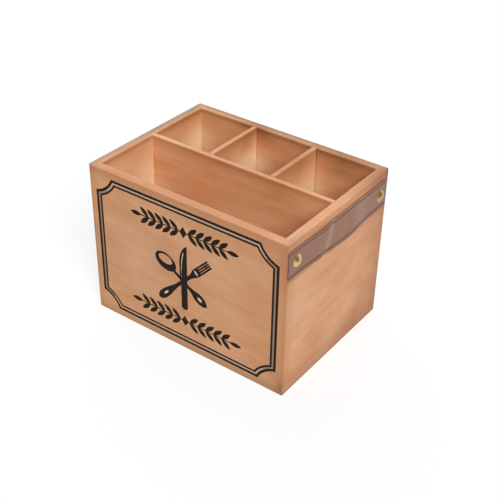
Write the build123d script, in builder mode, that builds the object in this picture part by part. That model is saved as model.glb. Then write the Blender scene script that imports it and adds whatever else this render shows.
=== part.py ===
from build123d import *
import os
from math import atan, degrees, radians, sin, sqrt

# A table-top cutlery organizer: a mitred plywood box with one long front bay, three rear bays,
# an engraved front and a slack strap handle held by two studs on each side.
# Millimetres, +Z up, front towards -Y, origin on the table under the middle of the box.

os.makedirs("parts", exist_ok=True)

# Box
box_width = 240.0
box_depth = 176.0
box_height = 175.0
wall_thickness = 9.0
corner_round = 1.5
rim_round = 0.8
foot_round = 0.5

# Base board, held in a groove round the four walls
base_thickness = 5.0
base_lift = 4.0
base_groove_depth = 4.0
base_clearance = 0.15

# Dividers, housed in stopped slots so that the rim stays unbroken
divider_thickness = 5.0
divider_round = 0.6
front_bay_depth = 76.5
housing_depth = 3.0
cross_housing_depth = 1.5
housing_stop = 12.0
housing_clearance = 0.2

# Headless steel pins
pin_diameter = 1.2
pin_length = 20.0
corner_pin_heights = (24.0, 72.0, 120.0)
divider_pin_heights = (45.0, 105.0)

# Strap handles: the right one sits forwards by the shift, and the left one is the same turned half round
strap_width = 30.6
strap_thickness = 1.4
strap_drop = 7.4
strap_end_inset = 2.3
strap_shift = 2.3
strap_flat_length = 24.0
strap_corner_round = 2.2
strap_bow = 3.0
grip_length = 84.0
grip_end_gap = 0.3

# Domed studs: on the right the front one is nailed above the strap's middle and the rear one below it
stud_diameter = 13.0
stud_dome_height = 2.7
stud_rim_height = 0.5
stud_inset = 12.4
stud_stagger = 1.0
shank_diameter = 2.2
shank_depth = 6.5
shank_point_length = 2.0
strap_hole_clearance = 0.15

# Engraved border on the front: two lines with hollowed corners
engraving_depth = 0.4
border_inset = 9.8
outer_line_width = 2.9
inner_line_inset = 14.35
inner_line_width = 2.3
corner_hollow_width = 20.3
corner_hollow_height = 17.3
corner_hollow_depth = 2.9

# Engraved crossed cutlery, placed from the point where the three cross
crossing_x = -1.2
crossing_drop = 4.0
spoon_angle = -33.5
bowl_reach = 26.8
bowl_length = 26.6
bowl_width = 18.8
bowl_tilt = 12.0
bowl_hollow_length = 18.6
bowl_hollow_width = 12.2
bowl_hollow_shift = (-1.3, 1.9)
spoon_neck_width = 3.8
spoon_flare_width = 11.6
spoon_neck_end = 7.0
spoon_flare_reach = 23.0
spoon_tip_reach = 35.0
spoon_mark_reach = 20.8
spoon_mark_size = (7.5, 3.4)
fork_angle = 45.5
fork_neck_width = 4.2
fork_neck_end = 12.0
fork_head_width = 9.4
fork_head_start = 24.0
fork_tip_reach = 47.0
fork_crescent_reach = 23.3
fork_crescent_size = (6.4, 1.9)
fork_slot_width = 0.6
fork_slot_length = 18.0
fork_slot_pitch = 2.4
fork_flare_width = 9.6
fork_flare_reach = 32.0
fork_handle_tip_reach = 46.0
fork_mark_size = (9.0, 2.4)
knife_shift = 1.2
knife_width = 8.0
knife_handle_length = 34.3
knife_end_round = 3.0
blade_length = 43.0
blade_belly = 5.7
blade_belly_rise = 18.0
blade_shoulder = (-3.3, 33.9)
blade_line_inset = 2.7
blade_line_width = 1.1

# Engraved leaf sprays above and below the cutlery
spray_rise = 53.5
spray_drop = 52.5
upper_spray_length = 133.0
lower_spray_length = 141.0
leaf_length = 14.5
leaf_width = 5.2
leaf_angle = 40.0
leaf_pitch = 10.0
stem_width = 1.3
lozenge_width = 9.0
lozenge_height = 13.0

# Shapes that follow from the sizes above
inner_width = box_width - 2 * wall_thickness
inner_depth = box_depth - 2 * wall_thickness
floor_height = base_lift + base_thickness
housing_top = box_height - housing_stop
half_width = box_width / 2
half_depth = box_depth / 2
half_height = box_height / 2

long_divider_front = -inner_depth / 2 + front_bay_depth
long_divider_back = long_divider_front + divider_thickness
long_divider_middle = long_divider_front + divider_thickness / 2
rear_bay_width = (inner_width - 2 * divider_thickness) / 3
cross_divider_middle = (rear_bay_width + divider_thickness) / 2

pin_radius = pin_diameter / 2
pin_inset = wall_thickness / 2
shank_radius = shank_diameter / 2
strap_top = box_height - strap_drop
strap_bottom = strap_top - strap_width
strap_middle = strap_top - strap_width / 2
strap_half_length = half_depth - strap_end_inset
stud_y = strap_half_length - stud_inset

pin_align = (Align.CENTER, Align.CENTER, Align.MAX)


# Places of the pins, each with its local +Z pointing out of the box
corner_pin_places = [
    Location((side * half_width, end * (half_depth - pin_inset), height), (0, side * 90, 0))
    for side in (-1, 1)
    for end in (-1, 1)
    for height in corner_pin_heights
]
long_divider_pin_places = [
    Location((side * half_width, long_divider_middle, height), (0, side * 90, 0))
    for side in (-1, 1)
    for height in divider_pin_heights
]
cross_divider_pin_places = [
    Location((side * cross_divider_middle, half_depth, height), (-90, 0, 0))
    for side in (-1, 1)
    for height in divider_pin_heights
]
divider_pin_places = long_divider_pin_places + cross_divider_pin_places
stud_places = {
    f"{side_name}_{end_name}_stud": Location(
        (
            side * half_width,
            end * stud_y - side * strap_shift,
            strap_middle - side * end * stud_stagger,
        ),
        (0, side * 90, 0),
    )
    for side_name, side in (("left", -1), ("right", 1))
    for end_name, end in (("front", -1), ("rear", 1))
}


def bore_pin_holes(places):
    """Cut the holes that the headless pins fill."""
    with Locations(*places):
        Cylinder(pin_radius, pin_length, align=pin_align, mode=Mode.SUBTRACT)


def bore_stud_holes():
    """Cut the blind holes that the stud shanks are driven into."""
    with Locations(*stud_places.values()):
        Cylinder(shank_radius, shank_depth, align=pin_align, mode=Mode.SUBTRACT)


def mitred_board(points):
    """The face of the wall ring's share between two mitre lines."""
    with BuildSketch() as board:
        with BuildLine():
            Polyline(*points, close=True)
        make_face()
    return board.sketch


def hollow_corner_frame(inset):
    """A panel-shaped face, inset from the panel's edges, with its four corners hollowed out."""
    corner = Vector(half_width - border_inset, half_height - border_inset)
    chord = Vector(corner_hollow_width, corner_hollow_height)
    outwards = Vector(corner_hollow_height, corner_hollow_width).normalized()
    border_radius = (chord.length**2 / 4 + corner_hollow_depth**2) / (2 * corner_hollow_depth)
    arc_centre = corner - chord / 2 + outwards * (border_radius - corner_hollow_depth)
    radius = border_radius + inset - border_inset
    top = half_height - inset
    right = half_width - inset
    with BuildSketch() as frame:
        with BuildLine():
            hollow = ThreePointArc(
                (arc_centre.X - sqrt(radius**2 - (arc_centre.Y - top) ** 2), top),
                arc_centre - outwards * radius,
                (right, arc_centre.Y - sqrt(radius**2 - (arc_centre.X - right) ** 2)),
            )
            Line((0, top), hollow @ 0)
            Line(hollow @ 1, (right, 0))
            mirror(about=Plane.YZ)
            mirror(about=Plane.XZ)
        make_face()
    return frame.sketch


def pointed_handle(neck_width, neck_end, flare_width, flare_reach, tip_reach):
    """A cutlery handle along +X that widens from its neck and ends in a point."""
    with BuildSketch() as handle:
        with BuildLine():
            Polyline((0, 0), (0, neck_width / 2), (neck_end, neck_width / 2))
            Spline(
                (neck_end, neck_width / 2),
                (flare_reach, flare_width / 2),
                (tip_reach, 0),
                tangents=((1, 0.1), (0.5, -1)),
            )
            mirror(about=Plane.XZ)
        make_face()
    return handle.sketch


def leaf(length, width):
    """A pointed leaf from the origin along +X."""
    with BuildSketch() as outline:
        with BuildLine():
            ThreePointArc((0, 0), (length / 2, width / 2), (length, 0))
            mirror(about=Plane.XZ)
        make_face()
    return outline.sketch


def leaf_spray(length):
    """A lozenge with a leafy stem running out from it to the left and to the right."""
    stem_end = length / 2 - leaf_length
    first_pair = lozenge_width / 2 + stem_width
    pair_count = max(1, round((stem_end - first_pair) / leaf_pitch))
    pair_spacing = (stem_end - first_pair) / pair_count
    roots = [first_pair + pair_spacing * pair for pair in range(pair_count)]
    with BuildSketch() as spray:
        # The stem runs on into the end leaves, which would touch its end at one point otherwise
        Rectangle(2 * (stem_end + stem_width), stem_width)
        leaf_places = [Location((root, 0), turn) for root in roots for turn in (leaf_angle, -leaf_angle)]
        with Locations(*leaf_places):
            add(leaf(leaf_length, leaf_width))
        with Locations((stem_end, 0)):
            add(leaf(leaf_length, leaf_width))
        mirror(about=Plane.YZ)
        with BuildLine():
            Polyline(
                (0, lozenge_height / 2),
                (lozenge_width / 2, 0),
                (0, -lozenge_height / 2),
                (-lozenge_width / 2, 0),
                close=True,
            )
        make_face()
    return spray.sketch


# Crossed spoon, each piece drawn along +X from the crossing
with BuildSketch() as spoon:
    add(
        pointed_handle(
            spoon_neck_width, spoon_neck_end, spoon_flare_width, spoon_flare_reach, spoon_tip_reach
        )
    )
    with Locations((-bowl_reach / 2, 0)):
        Rectangle(bowl_reach, spoon_neck_width)
    with Locations((-bowl_reach, 0)):
        Ellipse(bowl_length / 2, bowl_width / 2, rotation=bowl_tilt)
    with Locations((-bowl_reach + bowl_hollow_shift[0], bowl_hollow_shift[1])):
        Ellipse(bowl_hollow_length / 2, bowl_hollow_width / 2, rotation=bowl_tilt, mode=Mode.SUBTRACT)
    with Locations((spoon_mark_reach, 0)):
        add(leaf(*spoon_mark_size), mode=Mode.SUBTRACT)

# Crossed fork, with its tines along +X
with BuildSketch() as fork:
    add(
        pointed_handle(
            fork_neck_width, fork_neck_end, fork_flare_width, fork_flare_reach, fork_handle_tip_reach
        ),
        rotation=180,
    )
    with BuildLine():
        Polyline((0, 0), (0, fork_neck_width / 2), (fork_neck_end, fork_neck_width / 2))
        Spline(
            (fork_neck_end, fork_neck_width / 2),
            (fork_head_start, fork_head_width / 2),
            tangents=((1, 0), (1, 0)),
        )
        Polyline(
            (fork_head_start, fork_head_width / 2),
            (fork_tip_reach, fork_head_width / 2),
            (fork_tip_reach, 0),
        )
        mirror(about=Plane.XZ)
    make_face()
    with Locations((fork_tip_reach, 0)):
        with GridLocations(0, fork_slot_pitch, 1, 3):
            SlotOverall(2 * fork_slot_length, fork_slot_width, mode=Mode.SUBTRACT)
    with Locations((fork_crescent_reach, 0)):
        SlotOverall(*fork_crescent_size, rotation=90, mode=Mode.SUBTRACT)
    with Locations((-fork_flare_reach - fork_mark_size[0] / 2, 0)):
        add(leaf(*fork_mark_size), mode=Mode.SUBTRACT)

# Crossed knife, with its blade along +Y
with BuildSketch() as knife:
    with Locations((0, -knife_handle_length / 2)):
        Rectangle(knife_width, knife_handle_length)
    fillet(knife.vertices().group_by(Axis.Y)[0], radius=knife_end_round)
    with BuildLine():
        Polyline((-blade_belly, 0), (knife_width / 2, 0), (knife_width / 2, blade_length))
        Spline(
            (knife_width / 2, blade_length),
            blade_shoulder,
            (-blade_belly, blade_belly_rise),
            (-blade_belly, 0),
        )
    make_face()
    with BuildLine():
        Spline(
            (blade_shoulder[0] + blade_line_inset, blade_shoulder[1]),
            (-blade_belly + blade_line_inset, blade_belly_rise),
            (-blade_belly + blade_line_inset, blade_belly_rise / 4),
        )
    trace(line_width=blade_line_width, mode=Mode.SUBTRACT)

# Ring of the four walls, cut into mitred boards below
with BuildPart() as wall_ring:
    with BuildSketch():
        RectangleRounded(box_width, box_depth, corner_round)
        Rectangle(inner_width, inner_depth, mode=Mode.SUBTRACT)
    extrude(amount=box_height)
    fillet(wall_ring.faces().sort_by(Axis.Z)[-1].edges(), radius=rim_round)
    fillet(wall_ring.faces().sort_by(Axis.Z)[0].outer_wire().edges(), radius=foot_round)
    with BuildSketch(Plane.XY.offset(base_lift - base_clearance)):
        Rectangle(inner_width + 2 * base_groove_depth, inner_depth + 2 * base_groove_depth)
    extrude(amount=base_thickness + 2 * base_clearance, mode=Mode.SUBTRACT)
    with BuildSketch(Plane.XY.offset(floor_height)):
        with Locations((0, long_divider_middle)):
            Rectangle(inner_width + 2 * housing_depth, divider_thickness + 2 * housing_clearance)
        with Locations(*[(side * cross_divider_middle, inner_depth / 2) for side in (-1, 1)]):
            Rectangle(divider_thickness + 2 * housing_clearance, 2 * housing_depth)
    extrude(amount=housing_top + housing_clearance - floor_height, mode=Mode.SUBTRACT)
    bore_pin_holes(corner_pin_places + divider_pin_places)
    bore_stud_holes()

# Each board takes the ring between the mitre lines, which run inwards from the corners
mitre_reach = 2 * wall_thickness
front_board = [
    (-half_width - wall_thickness, -half_depth - wall_thickness),
    (half_width + wall_thickness, -half_depth - wall_thickness),
    (half_width - mitre_reach, -half_depth + mitre_reach),
    (-half_width + mitre_reach, -half_depth + mitre_reach),
]
right_board = [
    (half_width + wall_thickness, -half_depth - wall_thickness),
    (half_width + wall_thickness, half_depth + wall_thickness),
    (half_width - mitre_reach, half_depth - mitre_reach),
    (half_width - mitre_reach, -half_depth + mitre_reach),
]
back_board = [(x, -y) for x, y in front_board]
left_board = [(-x, y) for x, y in right_board]

front_face = Plane(origin=(0, -half_depth, half_height), x_dir=(1, 0, 0), z_dir=(0, -1, 0))

with BuildPart() as front_panel:
    add(wall_ring.part)
    with BuildSketch():
        add(mitred_board(front_board))
    extrude(amount=box_height, mode=Mode.INTERSECT)
    with BuildSketch(front_face):
        for line_inset, line_width in (
            (border_inset, outer_line_width),
            (inner_line_inset, inner_line_width),
        ):
            add(
                hollow_corner_frame(line_inset - line_width / 2)
                - hollow_corner_frame(line_inset + line_width / 2)
            )
        with Locations((crossing_x, -crossing_drop)):
            add(spoon.sketch, rotation=spoon_angle)
            add(fork.sketch, rotation=fork_angle)
        with Locations((crossing_x + knife_shift, -crossing_drop)):
            add(knife.sketch)
        with Locations((0, spray_rise)):
            add(leaf_spray(upper_spray_length))
        with Locations((0, -spray_drop)):
            add(leaf_spray(lower_spray_length))
    extrude(amount=-engraving_depth, mode=Mode.SUBTRACT)

with BuildPart() as back_panel:
    add(wall_ring.part)
    with BuildSketch():
        add(mitred_board(back_board))
    extrude(amount=box_height, mode=Mode.INTERSECT)

with BuildPart() as left_side_panel:
    add(wall_ring.part)
    with BuildSketch():
        add(mitred_board(left_board))
    extrude(amount=box_height, mode=Mode.INTERSECT)

with BuildPart() as right_side_panel:
    add(wall_ring.part)
    with BuildSketch():
        add(mitred_board(right_board))
    extrude(amount=box_height, mode=Mode.INTERSECT)

# Base board in the wall groove
base_reach = base_groove_depth - base_clearance
with BuildPart() as base_panel:
    with BuildSketch(Plane.XY.offset(base_lift)):
        Rectangle(inner_width + 2 * base_reach, inner_depth + 2 * base_reach)
    extrude(amount=base_thickness)

# Long divider from side to side, with a tongue at each end and slots for the cross dividers
long_tongue = housing_depth - housing_clearance
with BuildPart() as long_divider:
    with BuildSketch(Plane.XZ.offset(-long_divider_back)):
        with Locations((0, (floor_height + box_height) / 2)):
            Rectangle(inner_width - 2 * housing_clearance, box_height - floor_height)
        with Locations((0, (floor_height + housing_top) / 2)):
            Rectangle(inner_width + 2 * long_tongue, housing_top - floor_height)
    extrude(amount=divider_thickness)
    top_edges = long_divider.faces().sort_by(Axis.Z)[-1].edges().filter_by(Axis.X)
    fillet(top_edges, radius=divider_round)
    with BuildSketch(Plane.XY.offset(floor_height)):
        with Locations(*[(side * cross_divider_middle, long_divider_back) for side in (-1, 1)]):
            Rectangle(divider_thickness + 2 * housing_clearance, 2 * cross_housing_depth)
    extrude(amount=housing_top + housing_clearance - floor_height, mode=Mode.SUBTRACT)
    bore_pin_holes(long_divider_pin_places)

# Cross dividers from the long divider to the back, with a tongue at each end
cross_front = long_divider_back - cross_housing_depth + housing_clearance
cross_back = inner_depth / 2 + housing_depth - housing_clearance
shoulder_front = long_divider_back + housing_clearance
shoulder_back = inner_depth / 2 - housing_clearance
cross_dividers = {}
for side_name, side in (("left", -1), ("right", 1)):
    with BuildPart() as cross_divider:
        with BuildSketch(Plane.YZ.offset(side * cross_divider_middle - divider_thickness / 2)):
            with Locations(((shoulder_front + shoulder_back) / 2, (floor_height + box_height) / 2)):
                Rectangle(shoulder_back - shoulder_front, box_height - floor_height)
            with Locations(((cross_front + cross_back) / 2, (floor_height + housing_top) / 2)):
                Rectangle(cross_back - cross_front, housing_top - floor_height)
        extrude(amount=divider_thickness)
        top_edges = cross_divider.faces().sort_by(Axis.Z)[-1].edges().filter_by(Axis.Y)
        fillet(top_edges, radius=divider_round)
        bore_pin_holes(cross_divider_pin_places)
    cross_dividers[f"{side_name}_cross_divider"] = cross_divider.part

# Headless pins
with BuildPart() as corner_pins:
    with Locations(*corner_pin_places):
        Cylinder(pin_radius, pin_length, align=pin_align)

with BuildPart() as divider_pins:
    with Locations(*divider_pin_places):
        Cylinder(pin_radius, pin_length, align=pin_align)

# One whole strap on the right side, flat under its studs and bowed off the wall between them
strap_front = -strap_half_length - strap_shift
strap_rear = strap_half_length - strap_shift
strap_half_span = strap_half_length - strap_flat_length
strap_lean = 2 * degrees(atan(strap_bow / strap_half_span))
grip_arc_radius = grip_length / 2 / sin(radians(strap_lean))
tab_arc_radius = (strap_half_span - grip_length / 2) / sin(radians(strap_lean))
strap_line_x = half_width + strap_thickness / 2
with BuildPart() as whole_strap:
    with BuildSketch(Plane.XY.offset(strap_bottom)):
        with BuildLine():
            front_flat = Line((strap_line_x, strap_front), (strap_line_x, strap_front + strap_flat_length))
            rising = JernArc(front_flat @ 1, front_flat % 1, tab_arc_radius, -strap_lean)
            bowed = JernArc(rising @ 1, rising % 1, grip_arc_radius, 2 * strap_lean)
            falling = JernArc(bowed @ 1, bowed % 1, tab_arc_radius, -strap_lean)
            Line(falling @ 1, (strap_line_x, strap_rear))
        trace(line_width=strap_thickness)
    extrude(amount=strap_width)
    fillet(whole_strap.edges().filter_by(Axis.X), radius=strap_corner_round)
    with Locations(*stud_places.values()):
        Cylinder(shank_radius + strap_hole_clearance, 4 * strap_thickness, mode=Mode.SUBTRACT)

# The strap's nailed ends stay on the box, and its middle is the part that a hand pulls
tab_end = grip_length / 2 + grip_end_gap / 2
grip_end = grip_length / 2 - grip_end_gap / 2
strap_room = 2 * (strap_bow + strap_thickness)
strap_spans = (
    ("right_front_strap_tab", "left_rear_strap_tab", strap_front, -strap_shift - tab_end),
    ("right_strap_grip", "left_strap_grip", -strap_shift - grip_end, -strap_shift + grip_end),
    ("right_rear_strap_tab", "left_front_strap_tab", -strap_shift + tab_end, strap_rear),
)
strap_pieces = {}
for right_name, left_name, span_start, span_end in strap_spans:
    with BuildPart() as strap_piece:
        add(whole_strap.part)
        with BuildSketch(Plane.XY.offset(strap_bottom)):
            with Locations((half_width + strap_room / 2, (span_start + span_end) / 2)):
                Rectangle(strap_room, span_end - span_start)
        extrude(amount=strap_width, mode=Mode.INTERSECT)
    strap_pieces[right_name] = strap_piece.part
    with BuildPart() as turned_piece:
        add(strap_piece.part, rotation=(0, 0, 180))
    strap_pieces[left_name] = turned_piece.part

# One stud, its head resting on the strap and its shank along -Z
dome_radius = ((stud_diameter / 2) ** 2 + stud_dome_height**2) / (2 * stud_dome_height)
with BuildPart() as stud:
    with BuildSketch(Plane.XZ):
        with BuildLine():
            head_bottom = strap_thickness
            rim_top = head_bottom + stud_rim_height
            Polyline(
                (0, rim_top + stud_dome_height),
                (0, -shank_depth),
                (shank_radius, -shank_depth + shank_point_length),
                (shank_radius, head_bottom),
                (stud_diameter / 2, head_bottom),
                (stud_diameter / 2, rim_top),
            )
            RadiusArc((stud_diameter / 2, rim_top), (0, rim_top + stud_dome_height), -dome_radius)
        make_face()
    revolve(axis=Axis.Z)

studs = {}
for stud_name, place in stud_places.items():
    with BuildPart() as placed_stud:
        with Locations(place):
            add(stud.part)
    studs[stud_name] = placed_stud.part

pieces = {
    "front_panel": front_panel.part,
    "back_panel": back_panel.part,
    "left_side_panel": left_side_panel.part,
    "right_side_panel": right_side_panel.part,
    "base_panel": base_panel.part,
    "long_divider": long_divider.part,
    **cross_dividers,
    "corner_pins": corner_pins.part,
    "divider_pins": divider_pins.part,
    **strap_pieces,
    **studs,
}
for piece_name, piece in pieces.items():
    piece.label = piece_name
    export_step(piece, f"parts/{piece_name}.step")
    print(piece_name, "solids", len(piece.solids()), "volume", round(piece.volume))
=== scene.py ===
# %% [markdown]
# # A stained plywood cutlery organizer
# The real thing is a table-top box with one long bay, three short bays, a black design cut into
# its front, and a slack strap with two brass studs on each side. The boards were made as solids in
# a CAD program, so this lesson loads them, dresses them with finishes, and models only what is soft.

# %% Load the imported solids
import math

import bpy
from mathutils import Matrix, Vector


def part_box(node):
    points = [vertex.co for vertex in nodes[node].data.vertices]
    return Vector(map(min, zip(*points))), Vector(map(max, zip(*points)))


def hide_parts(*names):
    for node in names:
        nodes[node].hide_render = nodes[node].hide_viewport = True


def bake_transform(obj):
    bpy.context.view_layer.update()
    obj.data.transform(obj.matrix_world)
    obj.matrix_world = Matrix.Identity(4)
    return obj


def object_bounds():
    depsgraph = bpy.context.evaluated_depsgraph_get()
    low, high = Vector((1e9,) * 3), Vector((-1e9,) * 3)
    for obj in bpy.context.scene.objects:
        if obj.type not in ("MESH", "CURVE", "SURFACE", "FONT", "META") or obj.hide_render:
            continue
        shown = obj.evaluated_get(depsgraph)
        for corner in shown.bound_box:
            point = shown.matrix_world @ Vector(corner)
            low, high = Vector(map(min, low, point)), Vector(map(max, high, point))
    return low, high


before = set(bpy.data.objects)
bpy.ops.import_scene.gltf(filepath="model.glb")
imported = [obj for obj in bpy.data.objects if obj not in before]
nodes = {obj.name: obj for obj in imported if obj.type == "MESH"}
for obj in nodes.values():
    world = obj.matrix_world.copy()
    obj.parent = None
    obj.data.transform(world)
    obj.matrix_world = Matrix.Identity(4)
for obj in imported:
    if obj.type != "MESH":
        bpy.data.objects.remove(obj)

cad_low, cad_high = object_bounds()
mm = 0.001
print("CAD nodes", len(nodes), "box in mm", [round(side / mm, 1) for side in cad_high - cad_low])

# %% [markdown]
# Two helpers come first. Colours are easiest to choose as the hex codes that a paint program shows,
# but shaders work in linear light, so one function converts them. A second one adds any node to a
# material: it sets the node's options, then fills its inputs with numbers or links.

# %% Colour and node helpers
def linear(hex_code):
    """The linear RGBA of an sRGB hex colour."""
    shares = [int(hex_code[start : start + 2], 16) / 255 for start in (1, 3, 5)]
    red, green, blue = [s / 12.92 if s <= 0.04045 else ((s + 0.055) / 1.055) ** 2.4 for s in shares]
    return (red, green, blue, 1.0)


def add_node(tree, kind, options, inputs):
    """Add a node with its options, and give each input a value or a link from another node's socket."""
    node = tree.nodes.new(kind)
    for option, value in options.items():
        setattr(node, option, value)
    for key, value in inputs.items():
        if isinstance(value, bpy.types.NodeSocket):
            tree.links.new(value, node.inputs[key])
        else:
            node.inputs[key].default_value = value
    return node


def new_tree(name):
    """A new material and its node tree, empty but for the output node."""
    material = bpy.data.materials.new(name)
    material.use_nodes = True
    material.node_tree.nodes.clear()
    output = material.node_tree.nodes.new("ShaderNodeOutputMaterial")
    return material, material.node_tree, output


bpy.ops.object.select_all(action="DESELECT")
print("Honey stain in linear light", [round(c, 3) for c in linear("#D9A27A")])

# %% [markdown]
# The camera stands where the photographer stood. Its place and lens were worked out from the box's
# corners in the picture. Setting the three axes as a matrix gives the small tilt of the horizon too,
# which a Track To constraint would lose.

# %% Camera
camera_place = Vector((0.5022, -0.6786, 0.6425))
azimuth, elevation, roll = [math.radians(angle) for angle in (35.646, 33.928, 1.178)]
backwards = Vector(
    (
        math.sin(azimuth) * math.cos(elevation),
        -math.cos(azimuth) * math.cos(elevation),
        math.sin(elevation),
    )
)
level_right = Vector((math.cos(azimuth), math.sin(azimuth), 0))
level_up = backwards.cross(level_right)
camera_right = level_right * math.cos(roll) + level_up * math.sin(roll)
camera_up = backwards.cross(camera_right)

bpy.ops.object.camera_add()
camera = bpy.context.object
camera.name = "camera"
camera.data.sensor_width = 36
camera.data.lens = 69.94
turn = Matrix((camera_right, camera_up, backwards)).transposed().to_4x4()
camera.matrix_world = Matrix.Translation(camera_place) @ turn
bpy.context.scene.camera = camera
bpy.context.scene.view_settings.view_transform = "Standard"
print("Camera distance in m", round(camera_place.length, 3))

# %% [markdown]
# The photograph was taken on a white sweep. The world gives an even soft light, and rays that the
# camera or a shiny stud sends out see plain white instead. The floor is white paper: most of what the
# camera sees of it is plain white, and the rest is lit, so a faint shadow stays under the box. The
# light that it throws back up at the box is that of a greyer paper, or the box's sides would glow.

# %% World and floor
ambient_strength = 0.3
plain_white_share = 0.75
floor_size = 8


def seen_directly(tree):
    """A socket that is 1 for rays from the camera, off a shiny surface or through glass, and else 0."""
    rays = add_node(tree, "ShaderNodeLightPath", {}, {}).outputs
    seen = rays["Is Camera Ray"]
    for kind in ("Is Glossy Ray", "Is Transmission Ray"):
        seen = add_node(
            tree, "ShaderNodeMath", {"operation": "MAXIMUM"}, {0: seen, 1: rays[kind]}
        ).outputs[0]
    return seen


world = bpy.data.worlds.new("white_sweep")
bpy.context.scene.world = world
world.use_nodes = True
sky = world.node_tree
sky.nodes.clear()
sky_strength = add_node(
    sky,
    "ShaderNodeMapRange",
    {},
    {"Value": seen_directly(sky), "To Min": ambient_strength, "To Max": 1.0},
).outputs[0]
sky_light = add_node(
    sky, "ShaderNodeBackground", {}, {"Color": linear("#FFFFFF"), "Strength": sky_strength}
).outputs[0]
add_node(sky, "ShaderNodeOutputWorld", {}, {"Surface": sky_light})

floor_paper, tree, output = new_tree("white_sweep_paper")
seen = seen_directly(tree)
plain_share = add_node(
    tree, "ShaderNodeMath", {"operation": "MULTIPLY"}, {0: seen, 1: plain_white_share}
).outputs[0]
paper_colour = add_node(
    tree,
    "ShaderNodeMix",
    {"data_type": "RGBA"},
    {0: seen, 6: linear("#AAAAAA"), 7: linear("#FFFFFF")},
).outputs[2]
lit_paper = add_node(tree, "ShaderNodeBsdfDiffuse", {}, {"Color": paper_colour}).outputs[0]
plain_white = add_node(
    tree, "ShaderNodeEmission", {}, {"Color": linear("#FFFFFF"), "Strength": 1.0}
).outputs[0]
paper = add_node(
    tree, "ShaderNodeMixShader", {}, {0: plain_share, 1: lit_paper, 2: plain_white}
).outputs[0]
tree.links.new(paper, output.inputs["Surface"])

bpy.ops.mesh.primitive_plane_add(size=floor_size)
floor = bpy.context.object
floor.name = "floor"
floor.data.materials.append(floor_paper)
print("Floor of", floor_size, "m with", floor_paper.name)

# %% [markdown]
# In the photograph the rims are the lightest, then the right side, then the front, and the bays are
# bright too. So the main lamp is high at the right front, and a weaker one lights the back and the
# left. Sun lamps with a wide angle are as soft as large studio panels, and light all of the floor
# evenly.

# %% Soft lamps
for lamp_name, lamp_from, strength, softness in (
    ("main_lamp", (0.55, -0.42, 0.62), 2.75, 26),
    ("fill_lamp", (-0.6, 0.5, 0.62), 0.8, 60),
):
    bpy.ops.object.light_add(type="SUN")
    lamp = bpy.context.object
    lamp.name = lamp_name
    lamp.data.energy = strength
    lamp.data.angle = math.radians(softness)
    lamp.rotation_euler = Vector(lamp_from).to_track_quat("Z", "Y").to_euler()
    print(lamp_name, "strength in W per square metre", strength)

# %% [markdown]
# Two measures serve several finishes below. The first says how far a value is from a mark, such as a
# point from a fold. The second says how far a point is from the middle of an oval spot, as a share of
# the spot's reach, so that a spot can be long and thin. A spherical Gradient texture could do that
# too, but it stops at the edge of the spot.

# %% Distances
def distance_from(tree, socket, mark):
    """How far the value of a socket is from a mark."""
    difference = add_node(tree, "ShaderNodeMath", {"operation": "SUBTRACT"}, {0: socket, 1: mark})
    return add_node(
        tree, "ShaderNodeMath", {"operation": "ABSOLUTE"}, {0: difference.outputs[0]}
    ).outputs[0]


def oval_distance(tree, place, centre, reach, turn=(0, 0, 0)):
    """How far a place is from a centre, as a share of a reach along each axis: 1 all over an oval."""
    from_centre = add_node(
        tree,
        "ShaderNodeMapping",
        {"vector_type": "TEXTURE"},
        {"Vector": place, "Location": centre, "Rotation": turn, "Scale": reach},
    ).outputs[0]
    return add_node(
        tree, "ShaderNodeVectorMath", {"operation": "LENGTH"}, {0: from_centre}
    ).outputs["Value"]


print("Helpers", distance_from.__name__, "and", oval_distance.__name__)

# %% [markdown]
# The boards are thin plywood with a honey stain wiped on. Wood is never one colour: the stain lies in
# soft clouds, veneer shows long streaks and fine fibres, and short dark pores run with the grain. Each
# of these is a noise texture stretched along the grain, so the finish needs no picture of wood, and the
# grain can be turned to run along any board.

# %% Veneer
# Real pores are about 0.2 mm wide, and these are drawn wider, or they would not show
pore_width = 0.5


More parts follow.
